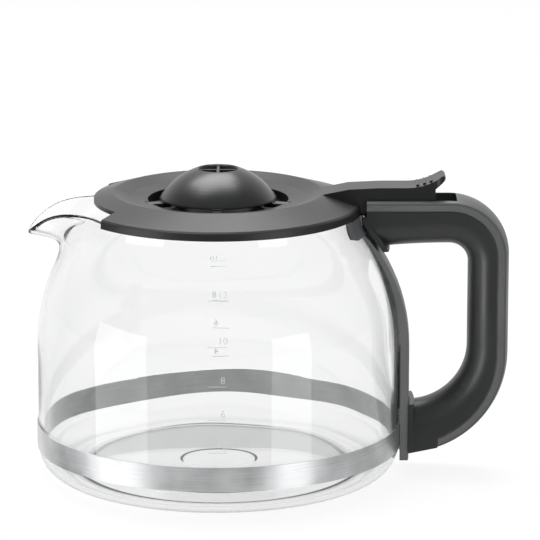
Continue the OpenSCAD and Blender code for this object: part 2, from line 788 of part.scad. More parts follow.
// Grip: the inner half of the handle, open along the seam, with ribs across it
module handle_grip() {
    rib_step = (finger_top_c[1] - finger_low_c[1]) / (grip_ribs + 1);
    color("black")
        difference() {
            union() {
                grip_form();
                grip_flange();
            }
            difference() {
                union() {
                    across(channel_w)
                        grip_hollow(hollow_depth);
                    across(hollow_w)
                        grip_hollow(grip_wall);
                }
                for (i = [1 : grip_ribs])
                    translate([finger_x, -handle_w / 2, finger_low_c[1] + i * rib_step - grip_rib_t / 2])
                        cube([grip_depth - cover_lip - grip_rib_t, handle_w, grip_rib_t]);
            }
            glass_side(spine_out + seat);
            translate([0, -handle_w, spine_top_z - over])
                cube([arm_x, 2 * handle_w, glass_h]);
            translate([0, -band_end_y - 2 * band_t, band_z - seat])
                cube([clamp_pocket_x, 2 * (band_end_y + 2 * band_t), band_w + 2 * seat]);
            translate([0, 0, band_mid_z])
                rotate([0, 90, 0])
                    cylinder(r = screw_r + 2 * seat, h = foot_x);
            translate([clamp_wall_x, 0, band_mid_z])
                rotate([0, 90, 0])
                    cylinder(r = screw_head_r + 2 * seat, h = handle_w);
            translate([0, 0, top_screw_z])
                rotate([0, 90, 0])
                    cylinder(r = screw_r + 2 * seat, h = hinge_x);
            translate([hinge_x, handle_w, hinge_z])
                rotate([90, 0, 0])
                    cylinder(r = hinge_pin_r, h = handle_w + channel_w / 2 + grip_wall / 2);
        }
}

// Section of the cover, with the seam at zero: flat sides, rounded edges and a crowned back
module cover_outline() {
    half = handle_w / 2;
    flat = half - cover_round;
    crown_r = (pow(flat, 2) + pow(cover_crown, 2)) / (2 * cover_crown);
    top = cover_side + cover_round + cover_crown;
    intersection() {
        union() {
            translate([groove_h, -half])
                square([cover_side - groove_h, handle_w]);
            translate([0, groove_depth - half])
                square([cover_side, handle_w - 2 * groove_depth]);
            translate([0, -flat])
                square([top, 2 * flat]);
            for (side = [-1, 1])
                translate([cover_side, side * flat])
                    circle(cover_round);
        }
        translate([top - crown_r, 0])
            circle(crown_r, $fn = fine_fn);
    }
}

// The same section hollowed from the seam side
module cover_section() {
    half = handle_w / 2 - cover_wall;
    difference() {
        cover_outline();
        translate([-over, -half])
            square([cover_side + cover_round + cover_crown - cover_wall + over, 2 * half]);
    }
}

// Lip that plugs into the grip, stepped in from the cover's side wall
module cover_plug() {
    outer = channel_w / 2 - seat;
    inner = outer - cover_lip_t;
    for (side = [-1, 1])
        mirror([0, side > 0 ? 0 : 1, 0]) {
            translate([-cover_lip, inner])
                square([cover_lip + cover_wall, cover_lip_t]);
            translate([seat, inner])
                square([cover_wall, handle_w / 2 - cover_wall / 2 - inner]);
        }
}

// Wall across the hollow at the cover's lower end
module cover_end() {
    reach = handle_w / 2 - cover_wall / 2;
    low = foot_corner_z + cover_wall / 2;
    translate([foot_x + seat, -reach, low])
        cube([cover_wall, 2 * reach, seam_foot_z - low]);
}

// Cover: the outer half of the handle, a crowned shell that plugs into the grip
module handle_cover() {
    color("gray")
        difference() {
            union() {
                along_seam()
                    cover_section();
                cover_end();
                run_line([seam_x, seam_corner_z - cover_wall], 0, seam_corner_z - seam_sweep_z - 2 * cover_wall)
                    cover_plug();
            }
            lever_room();
            translate([0, -handle_w, 0])
                cube([foot_x + seat, 2 * handle_w, seam_sweep_z]);
        }
}

// Hinge pin: pressed into the grip's cheeks
module hinge_pin() {
    color("silver")
        translate([hinge_x, handle_w / 2 - grip_wall / 4, hinge_z])
            rotate([90, 0, 0])
                cylinder(r = hinge_pin_r, h = (handle_w + channel_w) / 2 + grip_wall / 4);
}

// The lid's turned outline: edge, slope, ridge, dish, and the same again one wall below
ridge_slope = atan2(ridge_rise, lid_r - lid_wall - ridge_r);
dish_slope = atan2(dish_depth, ridge_r - dish_hole_r);
ridge_c = [ridge_r, ridge_z - ridge_round];
function lid_top(drop, end_r) = concat(
    arc(ridge_c, ridge_round - drop / 2, 90 - ridge_slope, 90 + dish_slope, round_steps),
    [[lerp(ridge_r, dish_hole_r, 1 / 2), lerp(ridge_z, dish_z, 2 / 3) - drop], [end_r, dish_z - drop]]);
// The drip floor below the dome, from its wall to the hole and back one wall below
drip_floor = [[dish_hole_r, sump_z], [drip_hole_r, sump_z - sump_fall],
              [drip_hole_r, sump_z - sump_fall - lid_wall], [dish_hole_r + lid_wall, sump_z - lid_wall]];

// The lid's plan: round, stepped in to a nose at the spout
module lid_plan() {
    corner = (lid_r + 2 * over) * [-cos(notch_spread), sin(notch_spread)];
    inner = (nose_r - over) * [-cos(notch_in_spread), sin(notch_in_spread)];
    difference() {
        circle(lid_r + over);
        difference() {
            polygon([corner, inner, [inner[0], -inner[1]], [corner[0], -corner[1]],
                     [-2 * lid_r, -corner[1]], [-2 * lid_r, corner[1]]]);
            circle(nose_r);
        }
    }
}

// The lever's side outline: root in the lid, knuckle, web and curved tail
lever_root_x = ridge_r - ridge_round;
module lever_side() {
    tail = arc(tail_c, tail_r, -90, tail_turn - 90, bend_steps);
    polygon(concat(
        [[lever_root_x, lid_roof_z + lid_wall], [lever_root_x, ridge_z - lid_wall], [ridge_r, ridge_z],
         [lerp(ridge_r, lid_r, 2 / 3), lever_top_z - lever_t / 4], [hinge_x, lever_top_z]],
        tail,
        [tip_c, tip_c + tip_round * [cos(45), -sin(45)],
         [lever_web_x, lever_under_z], [lever_web_x, lever_web_z],
         [hinge_x + knuckle_r, hinge_z - lever_wall], [hinge_x, hinge_z],
         [hinge_x - knuckle_r, lid_low_z], [lid_in_r, lid_low_z], [lid_in_r, lid_roof_z]]));
    translate(tip_c)
        circle(tip_round);
    translate([hinge_x, hinge_z])
        circle(knuckle_r);
}

// Lid: a dished shell with a collar, two spout notches and the thumb lever
module lid_shell() {
    rib_w = lever_w - lever_corner;
    color("dimgray")
        difference() {
            union() {
                intersection() {
                    rotate_extrude()
                        polygon(concat(
                            [[lid_in_r, lid_low_z], [lid_r, lid_low_z], [lid_r, lid_edge_z - lid_wall / 2],
                             [lid_r - lid_wall / 2, lid_edge_z]],
                            lid_top(0, dish_hole_r), drip_floor,
                            reversed(lid_top(lid_wall + lid_gap, dish_hole_r + lid_wall)),
                            [[lid_in_r, lid_roof_z]]));
                    translate([0, 0, lid_low_z - over])
                        linear_extrude(ridge_z)
                            lid_plan();
                }
                rotate([0, 0, notch_spread + notch_in_spread / 4 - 180])
                    rotate_extrude(angle = 360 - 2 * (notch_spread + notch_in_spread / 4))
                        translate([collar_r - lid_wall, lid_roof_z - collar_h])
                            square([lid_wall, collar_h + lid_wall]);
                intersection() {
                    across(lever_w)
                        lever_side();
                    lever_plan();
                }
                for (i = [0 : lever_ribs - 1])
                    lever_rib(i, rib_w);
            }
            across(lever_w - 2 * lever_wall)
                lever_hollow();
            translate([hinge_x, handle_w, hinge_z])
                rotate([90, 0, 0])
                    cylinder(r = hinge_pin_r + pin_play, h = 2 * handle_w);
            for (i = [0 : bridges - 1])
                rotate([0, 0, 360 * i / bridges - 90])
                    translate([0, -bridge_w / 2 - seat, bridge_z - seat])
                        cube([bridge_end_r + seat, bridge_w + 2 * seat, ridge_z]);
        }
}

// The lever from above, with its two corners rounded
module lever_plan() {
    end_x = tip_c[0] + tip_round;
    translate([0, 0, hinge_z - 2 * knuckle_r])
        linear_extrude(2 * lever_w) {
            translate([0, -lever_w / 2])
                square([end_x - lever_corner, lever_w]);
            for (side = [-1, 1])
                translate([end_x - lever_corner, side * (lever_w / 2 - lever_corner)])
                    circle(lever_corner);
            translate([0, lever_corner - lever_w / 2])
                square([end_x, lever_w - 2 * lever_corner]);
        }
}

// The hollow below the lever's top, open downwards, with the knuckle left whole
module lever_hollow() {
    difference() {
        polygon([[lid_r - lid_wall, lid_low_z - over], [lid_r, lever_top_z - 2 * lever_t],
                 [lever_web_x - lever_wall, lever_top_z - lever_t],
                 [lever_web_x - lever_wall, hinge_z - knuckle_r]]);
        translate([hinge_x, hinge_z])
            circle(knuckle_r);
        translate([hinge_x - lever_wall / 2, hinge_z])
            square([lever_wall, lever_top_z - hinge_z]);
    }
}

// One raised bar across the lever's tail
module lever_rib(i, w) {
    turn = tail_turn - 90 - (lever_rib_start + i * lever_rib_step) / tail_r * 180 / PI;
    p = tail_c + tail_r * [cos(turn), sin(turn)];
    translate([p[0], w / 2, p[1]])
        rotate([90, 0, 0])
            cylinder(r = lever_rib_r, h = w);
}

// Dome: a thin cap with a crossed recess, on bridges that snap into the dish
module drip_dome() {
    top_a = acos(dome_recess_r / dome_ball);
    base_a = acos(dome_base_r / dome_ball);
    in_ball = dome_ball - dome_wall;
    cross_h = dome_recess_depth + (dome_wall - cross_t) / 2;
    in_top_a = asin((dome_floor_z - dome_wall - dome_c_z) / in_ball);
    in_base_a = asin((dome_base_z - dome_c_z) / in_ball);
    color("black") {
        rotate_extrude()
            polygon(concat(
                arc([0, dome_c_z], dome_ball, base_a, top_a, bend_steps),
                [[dome_recess_r - cross_t / 2, dome_top_z - cross_t / 2], [dome_recess_r - cross_t, dome_floor_z],
                 [0, dome_floor_z], [0, dome_floor_z - dome_wall]],
                arc([0, dome_c_z], in_ball, in_top_a, in_base_a, bend_steps)));
        for (turn = [0, 90])
            rotate([0, 0, turn])
                translate([-dome_recess_r + cross_t, -cross_t / 2, dome_floor_z - dome_wall / 2])
                    cube([2 * (dome_recess_r - cross_t), cross_t, cross_h]);
        for (i = [0 : bridges - 1])
            rotate([0, 0, 360 * i / bridges - 90]) {
                translate([dome_base_r - 2 * dome_wall, -bridge_w / 2, bridge_z])
                    cube([bridge_end_r - dome_base_r + 2 * dome_wall, bridge_w, bridge_t]);
                intersection() {
                    translate([dome_base_r - 2 * dome_wall, -bridge_w / 2, bridge_z])
                        cube([2 * dome_wall, bridge_w, bridge_t + 2 * dome_wall]);
                    translate([0, 0, dome_c_z])
                        sphere(dome_ball - dome_wall / 2);
                }
            }
    }
}

glass_jug();
clamp_band();
clamp_plate();
clamp_screw();
handle_spine();
neck_pad();
spine_pad();
handle_grip();
handle_cover();
top_screw();
hinge_pin();
lid_shell();
drip_dome();
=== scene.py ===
"""Coffee server carafe: the glass, its cup scale and every finish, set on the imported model.

The frame gives each solid its place. This script turns the jug into real blown glass, prints the
cup scale on it, gives every other piece its material, and sets up a plain pale studio.
"""

import logging
import math
from dataclasses import dataclass, field
from enum import Enum

import bpy
import numpy as np
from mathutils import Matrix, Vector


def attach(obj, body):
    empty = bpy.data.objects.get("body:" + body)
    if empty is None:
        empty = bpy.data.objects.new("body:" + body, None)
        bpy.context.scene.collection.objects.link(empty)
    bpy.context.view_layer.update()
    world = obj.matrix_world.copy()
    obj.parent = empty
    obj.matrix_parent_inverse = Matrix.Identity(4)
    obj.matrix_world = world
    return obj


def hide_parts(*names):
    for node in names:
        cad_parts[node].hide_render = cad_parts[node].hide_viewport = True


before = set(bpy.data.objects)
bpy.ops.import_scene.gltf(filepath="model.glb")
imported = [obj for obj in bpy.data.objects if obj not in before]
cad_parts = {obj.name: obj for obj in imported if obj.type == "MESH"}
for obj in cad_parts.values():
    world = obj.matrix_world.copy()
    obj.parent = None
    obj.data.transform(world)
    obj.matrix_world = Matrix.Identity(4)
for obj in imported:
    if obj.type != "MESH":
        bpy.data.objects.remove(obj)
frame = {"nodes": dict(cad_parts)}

LOG = logging.getLogger("carafe")
MM = 0.001
WHITE = (1, 1, 1, 1)
EDGE_SAMPLES = 4
# Sockets of the Mix node: its share, its pair of numbers, its pair of colours and its mixed colour.
SHARE, LOW, HIGH = 0, 2, 3
LOW_COLOUR, HIGH_COLOUR, MIXED_COLOUR = 6, 7, 2


class Side(Enum):
    """The two sides of the jug that carry a cup scale, as angles about the axis in degrees."""

    NEAR = -90.0
    FAR = 90.0


def linear(colour: str, share: float = 1.0) -> tuple[float, float, float, float]:
    """Turn an sRGB hex colour into linear light.

    Args:
        colour: The colour, such as "#202224".
        share: What its light is multiplied by. No part goes past one.

    Returns:
        Red, green and blue in linear light, and an alpha of one.
    """
    parts = np.array([int(colour[i:i + 2], 16) for i in (1, 3, 5)]) / 255
    light = np.where(parts <= 0.04045, parts / 12.92, ((parts + 0.055) / 1.055) ** 2.4)
    return (*np.minimum(light * share, 1).tolist(), 1.0)


def add(tree: bpy.types.NodeTree, kind: str, inputs: dict | None = None,
        **settings) -> bpy.types.Node:
    """Add one shader node, with its settings and what its sockets get.

    Args:
        tree: The node tree that the node joins.
        kind: The node's kind, as in its type name after "ShaderNode".
        inputs: For each socket, by name or number, a plain value, the output that feeds it, or
            the node whose first output feeds it.
        **settings: Properties of the node itself.

    Returns:
        The new node.
    """
    made = tree.nodes.new("ShaderNode" + kind)
    for name, value in settings.items():
        setattr(made, name, value)
    for name, value in (inputs or {}).items():
        if isinstance(value, bpy.types.Node):
            value = value.outputs[0]
        if isinstance(value, bpy.types.NodeSocket):
            tree.links.new(value, made.inputs[name])
        else:
            made.inputs[name].default_value = value
    return made


def empty_material(name: str) -> tuple[bpy.types.Material, bpy.types.NodeTree]:
    """Make a material with no nodes.

    Args:
        name: The material's name.

    Returns:
        The material and its node tree.
    """
    made = bpy.data.materials.new(name)
    made.use_nodes = True
    made.node_tree.nodes.clear()
    return made, made.node_tree


def smooth_step(t: np.ndarray) -> np.ndarray:
    """Go smoothly from 0 to 1: t squared times (3 minus 2 t), with t kept between 0 and 1."""
    t = np.clip(t, 0, 1)
    return t * t * (3 - 2 * t)


def arc(centre: tuple[float, float], radius: float, start: float, end: float,
        steps: int) -> np.ndarray:
    """Points of an arc: the centre plus the radius times cosine and sine of the angle.

    Args:
        centre: Middle of the arc.
        radius: Its radius.
        start: First angle, in degrees.
        end: Last angle, in degrees.
        steps: Number of steps from the first point to the last.

    Returns:
        An array of steps + 1 points.
    """
    turn = np.radians(np.linspace(start, end, steps + 1))
    return np.array(centre) + radius * np.stack([np.cos(turn), np.sin(turn)], -1)


def ring_faces(rows: int, around: int) -> tuple[np.ndarray, np.ndarray]:
    """Faces of rings of points that follow each other, closed by a point at each end.

    The point of row i and place j has the number i times around plus j. The two end points
    come after all the rings.

    Args:
        rows: Number of rings.
        around: Number of points in each ring.

    Returns:
        The four-sided faces between the rings, and the three-sided faces at the two ends.
    """
    i = np.arange(rows - 1)[:, None] * around
    j = np.arange(around)[None, :]
    after = (j + 1) % around
    quads = np.stack([i + j, i + after, i + around + after, i + around + j], -1).reshape(-1, 4)
    j, after = j[0], after[0]
    last = (rows - 1) * around
    low = np.stack([np.full(around, rows * around), after, j], -1)
    high = np.stack([last + j, last + after, np.full(around, rows * around + 1)], -1)
    return quads, np.concatenate([low, high])


def new_piece(name: str, points: np.ndarray, faces: list, body: str,
              finish: bpy.types.Material, smooth: bool = True) -> bpy.types.Object:
    """Make a piece that rides on a body.

    Args:
        name: The piece's name.
        points: Its points, in millimetres.
        faces: Its faces, as lists of point numbers.
        body: The body that it moves with.
        finish: Its material.
        smooth: Whether its faces are shaded as one smooth surface.

    Returns:
        The new object.
    """
    mesh = bpy.data.meshes.new(name)
    mesh.from_pydata(points * MM, [], faces)
    mesh.validate()
    mesh.polygons.foreach_set("use_smooth", np.full(len(mesh.polygons), smooth))
    mesh.materials.append(finish)
    piece = bpy.data.objects.new(name, mesh)
    bpy.context.scene.collection.objects.link(piece)
    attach(piece, body)
    LOG.info("%s: %d points, %d faces", name, len(mesh.vertices), len(mesh.polygons))
    return piece


@dataclass(frozen=True)
class ClearGlass:
    """Blown borosilicate glass: a refracting shell that takes a little light where it is thick."""

    name: str = "borosilicate_glass"
    tint: str = "#e2e3e3"
    shadow: str = "#f4f6f5"
    ior: float = 1.47
    loss: float = 90.0

    def material(self) -> bpy.types.Material:
        """Make the glass, which refracts, absorbs along its thickness and lets lamplight through.

        Returns:
            The material.
        """
        made, tree = empty_material(self.name)
        path = add(tree, "LightPath")
        body = add(tree, "BsdfPrincipled", {"Base Color": WHITE, "Roughness": 0.0,
                                            "IOR": self.ior, "Transmission Weight": 1.0})
        clear = add(tree, "BsdfTransparent", {"Color": linear(self.shadow)})
        both = add(tree, "MixShader", {0: path.outputs["Is Shadow Ray"], 1: body, 2: clear})
        inside = add(tree, "VolumeAbsorption", {"Color": linear(self.tint), "Density": self.loss})
        add(tree, "OutputMaterial", {"Surface": both, "Volume": inside})
        return made


@dataclass(frozen=True)
class MouldedPlastic:
    """Injection-moulded plastic with the fine even grain of a spark-eroded mould.

    The grain is a noise. The mould's pits are about 0.1 mm wide, and it is drawn 0.32 mm wide so
    that it shows. A much wider noise changes tone and gloss a little, as the plastic's flow does.
    Edges are softened by the radius that such a mould has. Widths are in millimetres.
    """

    name: str
    colour: str
    tone: float = 0.06
    roughness: float = 0.42
    gloss_change: float = 0.05
    grain: float = 0.32
    grain_depth: float = 0.006
    grain_mix: float = 0.6
    flow: float = 28.0
    flow_low: float = 0.3
    flow_high: float = 0.7
    edge: float = 0.35
    ior: float = 1.5

    def material(self) -> bpy.types.Material:
        """Make the plastic, with grain, a slight change of tone and gloss, and softened edges.

        Returns:
            The material.
        """
        made, tree = empty_material(self.name)
        place = add(tree, "TexCoord").outputs["Object"]
        flow = add(tree, "TexNoise", {"Vector": place, "Scale": 1 / (self.flow * MM),
                                      "Detail": 3.0})
        grain = add(tree, "TexNoise", {"Vector": place, "Scale": 1 / (self.grain * MM),
                                       "Detail": 2.0, "Roughness": self.grain_mix})
        tone = add(tree, "Mix", {SHARE: flow, LOW_COLOUR: linear(self.colour, 1 - self.tone),
                                 HIGH_COLOUR: linear(self.colour, 1 + self.tone)},
                   data_type="RGBA").outputs[MIXED_COLOUR]
        gloss = add(tree, "MapRange", {"Value": flow, "From Min": self.flow_low,
                                       "From Max": self.flow_high,
                                       "To Min": self.roughness - self.gloss_change,
                                       "To Max": self.roughness + self.gloss_change})
        edge = add(tree, "Bevel", {"Radius": self.edge * MM}, samples=EDGE_SAMPLES)
        relief = add(tree, "Bump", {"Height": grain, "Distance": self.grain_depth * MM,
                                    "Normal": edge})
        body = add(tree, "BsdfPrincipled", {"Base Color": tone, "Roughness": gloss,
                                            "IOR": self.ior, "Normal": relief})
        add(tree, "OutputMaterial", {"Surface": body})
        return made


@dataclass(frozen=True)
class BrushedSteel:
    """Stainless strip brushed along its length, so the streaks run round the jug.

    The streaks are a noise that is long across X and Y and very fine along Z. On a hoop about the
    axis that leaves lines along the strip, without a seam. The brush's scratches are a few
    hundredths of a millimetre wide, and they are drawn 0.16 mm wide so that they show. They
    spread a reflection across the strip more than along it. The strip's inner face, which faces
    the axis, is darkened as painted shade: it is where the normal and the place point opposite
    ways.
    Widths are in millimetres, and the lows and highs are levels of the two noises' sum.
    """

    name: str = "brushed_stainless_steel"
    colour: str = "#e2e3e4"
    roughness: float = 0.43
    gloss_change: float = 0.08
    gloss_low: float = 0.7
    gloss_high: float = 1.3
    spread: float = 0.6
    spread_turn: float = 0.25
    dull: float = 0.7
    bright: float = 1.12
    tone_low: float = 0.75
    tone_high: float = 1.25
    # Share of the tone kept on the inner face: painted shade.
    back_painted_shade: float = 0.7
    streak_length: float = 26.0
    streak_width: float = 0.16
    streak_mix: float = 0.65
    patch: float = 18.0
    depth: float = 0.004

    def material(self) -> bpy.types.Material:
        """Make the steel, whose brushing changes its gloss, its tone and its slope.

        Returns:
            The material.
        """
        made, tree = empty_material(self.name)
        place = add(tree, "TexCoord").outputs["Object"]
        along, across = 1 / (self.streak_length * MM), 1 / (self.streak_width * MM)
        stretch = add(tree, "Mapping", {"Vector": place, "Scale": (along, along, across)})
        streaks = add(tree, "TexNoise", {"Vector": stretch, "Scale": 1.0, "Detail": 4.0,
                                         "Roughness": self.streak_mix})
        patches = add(tree, "TexNoise", {"Vector": place, "Scale": 1 / (self.patch * MM),
                                         "Detail": 2.0})
        both = add(tree, "Math", {0: streaks, 1: patches}, operation="ADD")
        share = add(tree, "MapRange", {"Value": both, "From Min": self.tone_low,
                                       "From Max": self.tone_high})
        tone = add(tree, "Mix", {SHARE: share, LOW_COLOUR: linear(self.colour, self.dull),
                                 HIGH_COLOUR: linear(self.colour, self.bright)},
                   data_type="RGBA").outputs[MIXED_COLOUR]
        # Painted shade: the inner face, which faces the axis, is darkened to a share of its tone.
        normal = add(tree, "NewGeometry").outputs["Normal"]
        facing = add(tree, "VectorMath", {0: normal, 1: place},
                     operation="DOT_PRODUCT").outputs["Value"]
        outside = add(tree, "Math", {0: facing, 1: 0.0}, operation="GREATER_THAN")
        shade = add(tree, "MapRange", {"Value": outside, "To Min": self.back_painted_shade, "To Max": 1.0})
        tone = add(tree, "VectorMath", {0: tone, "Scale": shade}, operation="SCALE")
        gloss = add(tree, "MapRange", {"Value": both, "From Min": self.gloss_low,
                                       "From Max": self.gloss_high,
                                       "To Min": self.roughness - self.gloss_change,
                                       "To Max": self.roughness + self.gloss_change})
        relief = add(tree, "Bump", {"Height": streaks, "Distance": self.depth * MM})
        round_axis = add(tree, "Tangent", direction_type="RADIAL", axis="Z")
        body = add(tree, "BsdfPrincipled", {"Base Color": tone, "Metallic": 1.0,
                                            "Roughness": gloss, "Normal": relief,
                                            "Anisotropic": self.spread,
                                            "Anisotropic Rotation": self.spread_turn,
                                            "Tangent": round_axis})
        add(tree, "OutputMaterial", {"Surface": body})
        return made


@dataclass(frozen=True)
class ZincSteel:
    """Zinc-plated steel of screws and small pressings: pale metal with a faint crystal mottle.

    The mottle's cells and the softened edges have their widths in millimetres.
    """

    name: str = "zinc_plated_steel"
    colour: str = "#b4b7bb"
    dull: float = 0.8
    smoothest: float = 0.29
    roughest: float = 0.44
    mottle: float = 1.6
    edge: float = 0.15

    def material(self) -> bpy.types.Material:
        """Make the plated steel, whose tone and gloss change from crystal to crystal.

        Returns:
            The material.
        """
        made, tree = empty_material(self.name)
        place = add(tree, "TexCoord").outputs["Object"]
        cells = add(tree, "TexVoronoi", {"Vector": place,
                                         "Scale": 1 / (self.mottle * MM)}).outputs["Distance"]
        tone = add(tree, "Mix", {SHARE: cells, LOW_COLOUR: linear(self.colour),
                                 HIGH_COLOUR: linear(self.colour, self.dull)},
                   data_type="RGBA").outputs[MIXED_COLOUR]
        gloss = add(tree, "MapRange", {"Value": cells, "To Min": self.smoothest,
                                       "To Max": self.roughest})
        edge = add(tree, "Bevel", {"Radius": self.edge * MM}, samples=EDGE_SAMPLES)
        body = add(tree, "BsdfPrincipled", {"Base Color": tone, "Metallic": 1.0,
                                            "Roughness": gloss, "Normal": edge})
        add(tree, "OutputMaterial", {"Surface": body})
        return made


@dataclass(frozen=True)
class SiliconeRubber:
    """Grey silicone of the pads: soft, matt, with a fine orange-peel surface.

    The peel's width and depth are in millimetres.
    """

    name: str = "silicone_rubber"
    colour: str = "#3a3c3e"
    tone: float = 0.1
    roughness: float = 0.62
    peel: float = 0.8
    peel_depth: float = 0.02
    ior: float = 1.41

    def material(self) -> bpy.types.Material:
        """Make the matt rubber, with a shallow peel and a little change of tone.

        Returns:
            The material.
        """
        made, tree = empty_material(self.name)
        place = add(tree, "TexCoord").outputs["Object"]
        peel = add(tree, "TexNoise", {"Vector": place, "Scale": 1 / (self.peel * MM),
                                      "Detail": 2.0})
        tone = add(tree, "Mix", {SHARE: peel, LOW_COLOUR: linear(self.colour, 1 - self.tone),
                                 HIGH_COLOUR: linear(self.colour, 1 + self.tone)},
                   data_type="RGBA").outputs[MIXED_COLOUR]
        relief = add(tree, "Bump", {"Height": peel, "Distance": self.peel_depth * MM})
        body = add(tree, "BsdfPrincipled", {"Base Color": tone, "Roughness": self.roughness,
                                            "IOR": self.ior, "Normal": relief})
        add(tree, "OutputMaterial", {"Surface": body})
        return made


@dataclass(frozen=True)
class FiredEnamel:
    """Pale ceramic ink of the cup scale, screen-printed and fired on.

    The film is thin, so light also comes through it from behind, and it is slightly uneven. Its
    grain is as wide as the printing screen's threads lie apart, in millimetres.
    """

    name: str = "fired_enamel_ink"
    colour: str = "#f6f6f6"
    tone: float = 0.12
    through: float = 0.28
    roughness: float = 0.5
    grain: float = 0.12
    ior: float = 1.5

    def material(self) -> bpy.types.Material:
        """Make the pale ink, whose tone changes with the print's fine grain.

        Returns:
            The material.
        """
        made, tree = empty_material(self.name)
        place = add(tree, "TexCoord").outputs["Object"]
        grain = add(tree, "TexNoise", {"Vector": place, "Scale": 1 / (self.grain * MM),
                                       "Detail": 1.0})
        tone = add(tree, "Mix", {SHARE: grain, LOW_COLOUR: linear(self.colour, 1 - self.tone),
                                 HIGH_COLOUR: linear(self.colour, 1 + self.tone)},
                   data_type="RGBA").outputs[MIXED_COLOUR]
        body = add(tree, "BsdfPrincipled", {"Base Color": tone, "Roughness": self.roughness,
                                            "IOR": self.ior})
        behind = add(tree, "BsdfTranslucent", {"Color": tone})
        film = add(tree, "MixShader", {0: self.through, 1: body, 2: behind})
        add(tree, "OutputMaterial", {"Surface": film})
        return made


@dataclass
class JugForm:
    """The jug's sizes, in millimetres and degrees, and the outlines worked out from them."""

    radius: float = 81.4
    wall: float = 2.4
    height: float = 121.0
    neck_r: float = 60.8
    shoulder_z: float = 61.5
    shoulder_bend: float = 75.0
    neck_bend: float = 14.0
    corner: float = 13.0
    foot_ring: float = 5.0
    push: float = 2.4
    slope_w: float = 9.0
    floor: float = 3.0
    mark_r: float = 17.5
    mark_depth: float = 0.6
    mark_slope: float = 1.4
    spout_reach: float = 85.2
    spout_tip_z: float = 110.0
    spout_spread: float = 36.0
    spout_pinch: float = 2.35
    side_lift: float = 3.0
    spout_root_z: float = 92.0
    throat_pull: float = 15.0
    lip_pull: float = 15.0
    lip_drop: float = 2.6
    bend_part: float = 6.0
    top_points: int = 5

    def __post_init__(self) -> None:
        """Work out the middles of the bends from the driving sizes."""
        self.shoulder_c = (self.radius - self.shoulder_bend, self.shoulder_z)
        across = self.neck_r + self.neck_bend - self.shoulder_c[0]
        rise = math.sqrt((self.shoulder_bend + self.neck_bend) ** 2 - across ** 2)
        self.neck_c = (self.neck_r + self.neck_bend, self.shoulder_z + rise)
        self.turn = math.degrees(math.atan2(rise, across))
        root_rise = (self.spout_root_z - self.shoulder_z) / self.shoulder_bend
        self.root = math.degrees(math.asin(root_rise))
        self.corner_c = (self.radius - self.corner, self.corner)
        self.ring_r = self.corner_c[0] - self.foot_ring

    def wall_radius(self, z: np.ndarray) -> np.ndarray:
        """Outer radius at a height on the wall or the shoulder: a circle's edge above the wall."""
        rise = np.maximum(z - self.shoulder_z, 0)
        return self.shoulder_c[0] + np.sqrt(self.shoulder_bend ** 2 - rise ** 2)

    def steepness(self, z: float) -> float:
        """Rise in height per length along the wall or shoulder: the cosine of the wall's lean."""
        return math.sqrt(1 - (max(z - self.shoulder_z, 0) / self.shoulder_bend) ** 2)

    def neck_line(self, steps: int) -> tuple[np.ndarray, np.ndarray]:
        """The round neck's outline from the spout's root up to the rim.

        Each of the two bends counts for bend_part parts of the way, and the short straight top
        for one.

        Args:
            steps: Steps on each of its two bends.

        Returns:
            Radius and height of each point, and its share of the way, from 0 to 1.
        """
        shoulder = arc(self.shoulder_c, self.shoulder_bend, self.root, self.turn, steps)
        hollow = arc(self.neck_c, self.neck_bend, 180 + self.turn, 180, steps)
        rim = [self.neck_r, self.height - self.wall / 2]
        top = np.linspace(hollow[-1], rim, self.top_points)
        line = np.concatenate([shoulder, hollow[1:], top[1:]])
        one, two, whole = self.bend_part, 2 * self.bend_part, 2 * self.bend_part + 1
        parts = np.concatenate([np.linspace(0, one, steps + 1),
                                np.linspace(one, two, steps + 1)[1:],
                                np.linspace(two, whole, self.top_points)[1:]])
        return line, parts / whole

    def spout_line(self, share: np.ndarray) -> np.ndarray:
        """The spout's middle line: a cubic curve off the shoulder, up it, and out to the tip.

        A point is the sum of root, throat, lip and tip, each times its cubic weight: (1 - t)
        cubed, 3 (1 - t) squared t, 3 (1 - t) t squared and t cubed.

        Args:
            share: How far along the curve, from 0 to 1.

        Returns:
            Radius and height of each point.
        """
        turn = math.radians(self.root)
        out = np.array([math.cos(turn), math.sin(turn)])
        up = np.array([-math.sin(turn), math.cos(turn)])
        root = np.array(self.shoulder_c) + self.shoulder_bend * out
        tip = np.array([self.spout_reach - self.wall / 2, self.spout_tip_z - self.wall / 2])
        throat = root + self.throat_pull * up
        lip = tip - np.array([self.lip_pull, self.lip_drop])
        t = share[:, None]
        s = 1 - t
        return s ** 3 * root + 3 * s ** 2 * t * throat + 3 * s * t ** 2 * lip + t ** 3 * tip

    def beak(self, angle: np.ndarray) -> np.ndarray:
        """Share of the spout at an angle: half of one plus a cosine, raised to a power."""
        wave = (1 + np.cos(np.pi * np.clip(angle / self.spout_spread, -1, 1))) / 2
        return wave ** self.spout_pinch

    def underside(self, r: np.ndarray) -> np.ndarray:
        """Height of the underside: a smooth step up inside the ring, and one at the mark."""
        return (self.push * smooth_step((self.ring_r - r) / self.slope_w)
                + self.mark_depth * smooth_step((self.mark_r - r) / self.mark_slope))

    def inside_floor(self, r: np.ndarray) -> np.ndarray:
        """Height of the inner floor: a gutter along the wall and a smooth step to the middle.

        Args:
            r: Distances from the axis.

        Returns:
            The height at each distance.
        """
        rise = self.push + self.floor - self.wall
        reach = self.foot_ring + self.slope_w
        return self.wall + rise * smooth_step((self.corner_c[0] - r) / reach)


